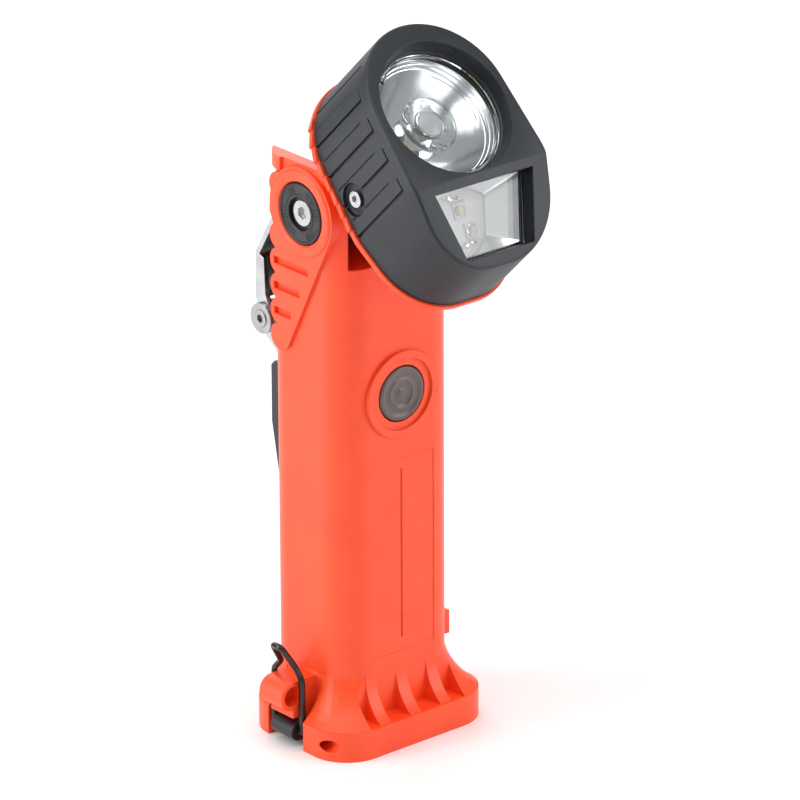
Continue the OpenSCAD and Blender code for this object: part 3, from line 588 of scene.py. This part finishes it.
leds = dict(across=1.2, along=2.95, half=2.25, board=-13.02, domeR=1.9, domeH=0.9,
            domeLow=0.56, glowHalf=0.8, arcSteps=8)


def makeFloodLeds():
    # two white packages, each with a clear dome over its phosphor
    d = leds
    bases, domes, glows = [], [], []
    half, glow, low = d["half"], d["glowHalf"], d["domeLow"]
    arc = []
    for i in range(d["arcSteps"]):
        a = math.pi / 2 * i / d["arcSteps"]
        arc.append((d["domeR"] * math.cos(a), low + d["domeH"] * math.sin(a)))
    for s in (-1, 1):
        place = Matrix.Translation((-s * d["across"], floodMiddle() + s * d["along"], d["board"]))
        bases.append(turned(block((-half, -half, 0), (half, half, 0.55), 0.12), place))
        domes.append(turned(lathe([(0, low)] + arc + [(0, low + d["domeH"])], 32), place))
        glows.append(turned(block((-glow, -glow, 0.5), (glow, glow, 0.62)), place))
    made = newObject(merged(bases), "floodLedBases", floodSpace)
    finishPiece(made, "boardWhite", "head", ["flood_leds"])
    made = newObject(merged(domes), "floodLedDomes", floodSpace)
    finishPiece(made, "clearPlastic", "head")
    made = newObject(merged(glows), "floodLedGlows", floodSpace)
    finishPiece(made, "ledPhosphor", "head")


# front and back of the funnel: height, and its shares of the window's width and height
funnel = dict(front=(-6.5, 0.99, 0.99), back=(-13.0, 0.48, 0.6), wall=0.5, ridge=0.5)


def makeFloodReflector():
    # funnel of four mirror walls between the board and the window
    mid = floodMiddle()
    bm = bmesh.new()
    outer, inner = ([bm.verts.new((x * across, (y - mid) * up + mid, z))
                     for x, y in windowPoints()]
                    for z, across, up in (funnel["front"], funnel["back"]))
    for i in range(4):
        j = (i + 1) % 4
        bm.faces.new((outer[i], outer[j], inner[j], inner[i]))
    # a ridge where two walls meet
    corners = [e for e in bm.edges if abs(e.verts[0].co.z - e.verts[1].co.z) > 1]
    bmesh.ops.bevel(bm, geom=corners, offset=funnel["ridge"], affect="EDGES", segments=2,
                    profile=0.2, material=-1)
    bmesh.ops.recalc_face_normals(bm, faces=bm.faces)
    bmesh.ops.solidify(bm, geom=bm.faces[:], thickness=funnel["wall"])
    bmesh.ops.recalc_face_normals(bm, faces=bm.faces)
    made = newObject(bm, "floodReflector", floodSpace)
    finishPiece(made, "mirrorCoat", "head", ["flood_reflector"], 20)


def besidePivot(side, x):
    # lathe space whose axis looks outwards along the pivot, x millimetres from the middle
    return (pivotPlace @ Matrix.Translation((side * x * mm, 0, 0))
            @ Matrix.Rotation(side * math.pi / 2, 4, "Y") @ bodySpace)


earRing = dict(x=22.0, r=12.6, innerR=9.15, high=0.45, sunk=0.6)


def makeEarRings():
    # raised ring round each pivot cap
    d = earRing
    for side, name in ((-1, "earRingLeft"), (1, "earRingRight")):
        ring = lathe([(d["innerR"], -d["sunk"]), (d["r"], -d["sunk"]), (d["r"] - 0.1, 0.1),
                      (d["r"] - 0.6, d["high"]), (d["innerR"] + 0.75, d["high"]),
                      (d["innerR"] + 0.15, 0.2)], 72)
        made = newObject(ring, name, besidePivot(side, d["x"]))
        finishPiece(made, "orangeNylon", "handle")


cap = dict(r=8.75, face=22.35, depth=10, boreR=2.6, stubR=4.9, recessR=4.75,
           ticks=44, tickIn=5.9, tickOut=7.7, tickW=0.44, blank=0.35)


def makePivotCaps():
    c = cap
    for side, name, node in ((-1, "pivotCapLeft", "pivot_bush_left"),
                             (1, "pivotCapRight", "pivot_bush_right")):
        top, x = c["depth"], c["face"] - c["depth"]
        body = lathe([(c["boreR"], 0), (c["stubR"], 0), (c["stubR"], top - x),
                      (c["r"], top - x + 0.6), (c["r"], top - 0.3), (c["r"] - 0.3, top),
                      (8.1, top), (7.95, top - 0.25), (5.6, top - 0.25), (5.4, top),
                      (c["recessR"] + 0.25, top), (c["recessR"], top - 0.2),
                      (c["recessR"], top - 1.4), (c["boreR"], top - 1.4)], 72)
        parts = [body]
        for i in range(c["ticks"]):
            turn = 2 * math.pi * i / c["ticks"]
            if abs(math.sin(turn)) < c["blank"]:
                continue
            tick = block((c["tickIn"], -c["tickW"] / 2, top - 0.4),
                         (c["tickOut"], c["tickW"] / 2, top - 0.05), 0.08, 1)
            parts.append(turned(tick, Matrix.Rotation(turn, 4, "Z")))
        made = newObject(merged(parts), name, besidePivot(side, x))
        finishPiece(made, "satinBlack", "handle", [node])


button = dict(z=103.6, wallY=-17.2, r=7.95)


def makeButton():
    r = button["r"]
    # dished cap with a low ring and a small dimple
    capShape = lathe([(0, -2.2), (r, -2.2), (r, 0.1), (r - 0.25, 0.42), (r - 0.8, 0.55),
                      (r - 1.3, 0.5), (r - 1.7, 0.25), (r - 3.1, 0.12), (r - 3.5, 0.3),
                      (r - 3.9, 0.34), (r - 4.3, 0.1), (1.6, 0.0), (1.3, 0.16), (0, 0.2)], 72)
    place = (Matrix.Translation((0, button["wallY"] * mm, button["z"] * mm))
             @ Matrix.Rotation(math.pi / 2, 4, "X") @ bodySpace)
    finishPiece(newObject(capShape, "buttonCap", place), "smokedRubber", "button",
                ["power_button"])


# finishes of the parts that keep their frame shape
nodeFinishes = {
    "body_shell": "orangeNylon",
    "battery_door": "satinBlack", "door_gasket": "blackRubber", "cell_carrier": "satinBlack",
    "battery_cells": "cellWrap", "contact_springs": "platedSteel", "contact_plates": "brass",
    "switch_board": "boardGreen", "tact_switch": "brushedSteel", "button_boot": "blackRubber",
    "pivot_screws": "platedSteel", "clip_bracket": "brushedSteel",
    "bracket_screws": "platedSteel", "clip_pin": "brushedSteel",
    "clip_washers": "brushedSteel", "clip_spring": "platedSteel", "clip_lever": "platedSteel",
    "clip_pad": "satinBlack", "latch_bail": "blackWire", "head_housing": "orangeNylon",
    "neck": "blackNylon", "bezel_screws": "platedSteel", "lens_gasket": "blackRubber",
    "spot_led": "ledPhosphor", "spot_board": "boardWhite", "heat_sink": "aluminium",
    "flood_window": "clearPlastic", "flood_board": "boardWhite",
    "driver_board": "boardGreen", "lead_wires": "redWire",
}


def finishNodes():
    for node, finish in nodeFinishes.items():
        mesh = nodes[node].data
        if not mesh.materials:
            mesh.materials.append(finishes[finish])
        for slot in nodes[node].material_slots:
            slot.material = finishes[finish]


addCamera()
print("camera placed")
finishes = makeFinishes()
addStage()
print("stage and finishes made")
finishNodes()
makeEarRings()
makePivotCaps()
makeButton()
print("handle done")
makeBezel()
makeLens()
makeReflector()
makeFloodReflector()
makeFloodLeds()
makeRimTeeth()
print("head done")

scene.view_settings.view_transform = "Standard"
scene.view_settings.look = "None"
